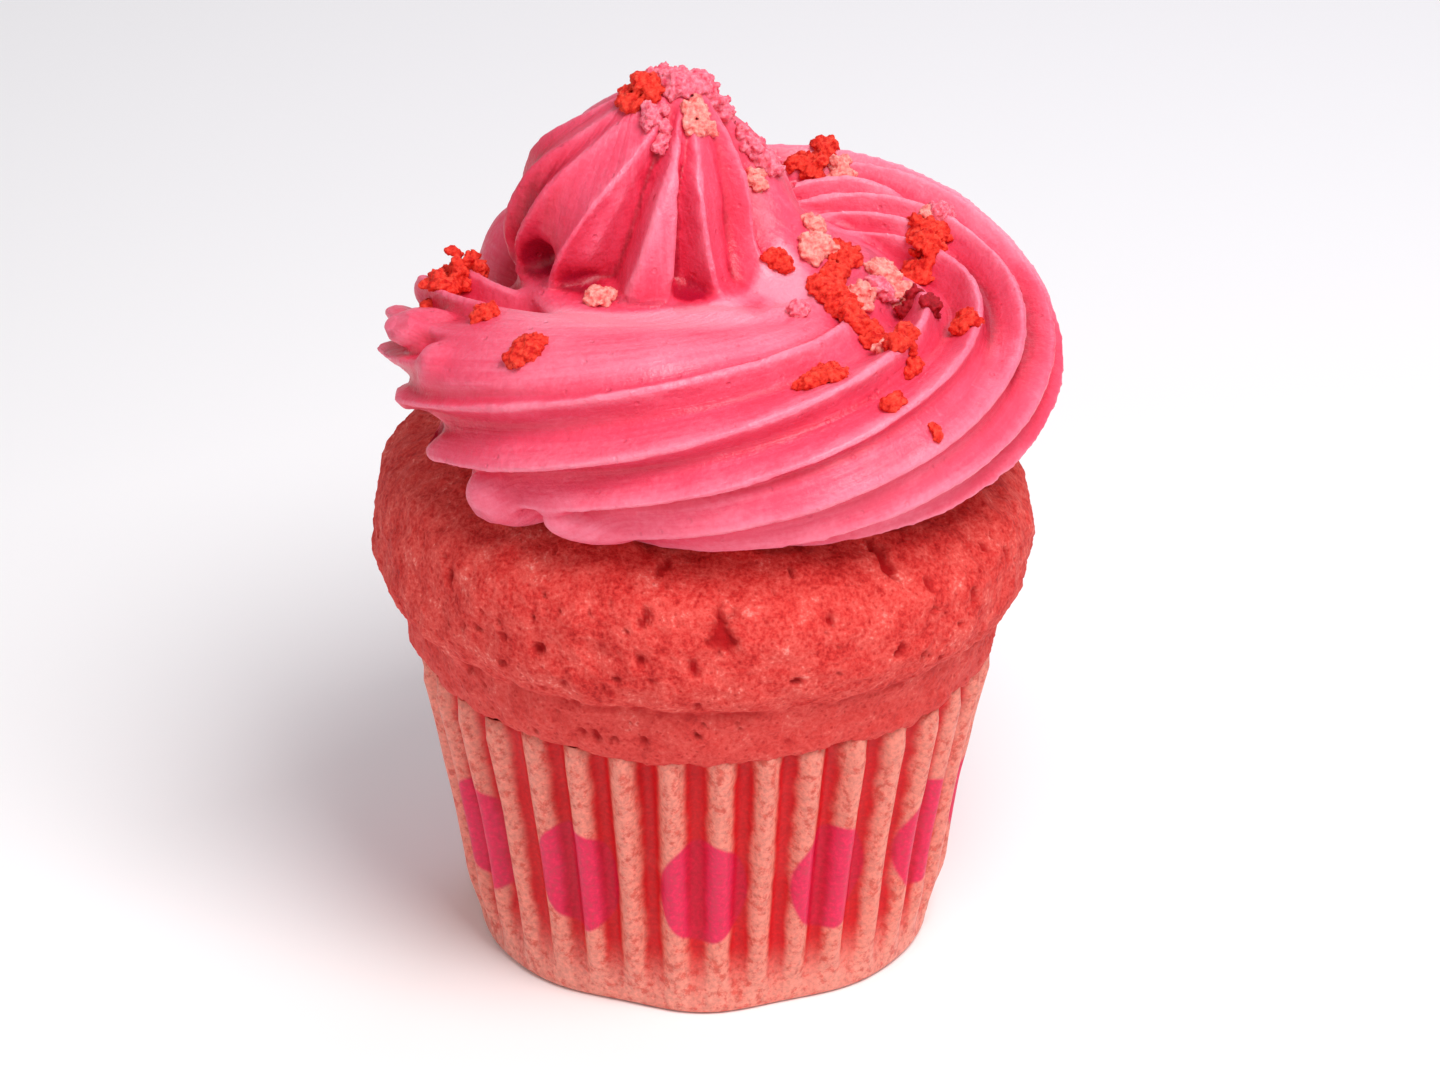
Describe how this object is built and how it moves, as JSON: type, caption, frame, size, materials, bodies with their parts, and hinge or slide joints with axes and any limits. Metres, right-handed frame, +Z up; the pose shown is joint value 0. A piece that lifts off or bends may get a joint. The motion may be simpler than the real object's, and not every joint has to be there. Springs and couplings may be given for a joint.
{
  "type": "iced cupcake",
  "caption": "Pink-red cupcake in a pleated paper case, its sponge risen over the rim, under a star-piped swirl of pink buttercream strewn with cake crumbs.",
  "frame": {"origin": "middle of the underside of the paper case, on the surface it stands on", "axes": "+Z up, -Y towards the front, +X to the right of someone who faces the front"},
  "size_m": [0.0736, 0.0731, 0.0984],
  "materials": {
    "paper": "greaseproof paper, soaked through by the sponge, with a printed row of hot pink spots",
    "sponge": "matt, fine open crumb with dark pits",
    "icing": "satin buttercream, a little translucent, with matt cake crumbs on it"
  },
  "bodies": {
    "root": {"paper_case": "paper", "sponge": "sponge", "icing": "icing"}
  },
  "joints": []
}
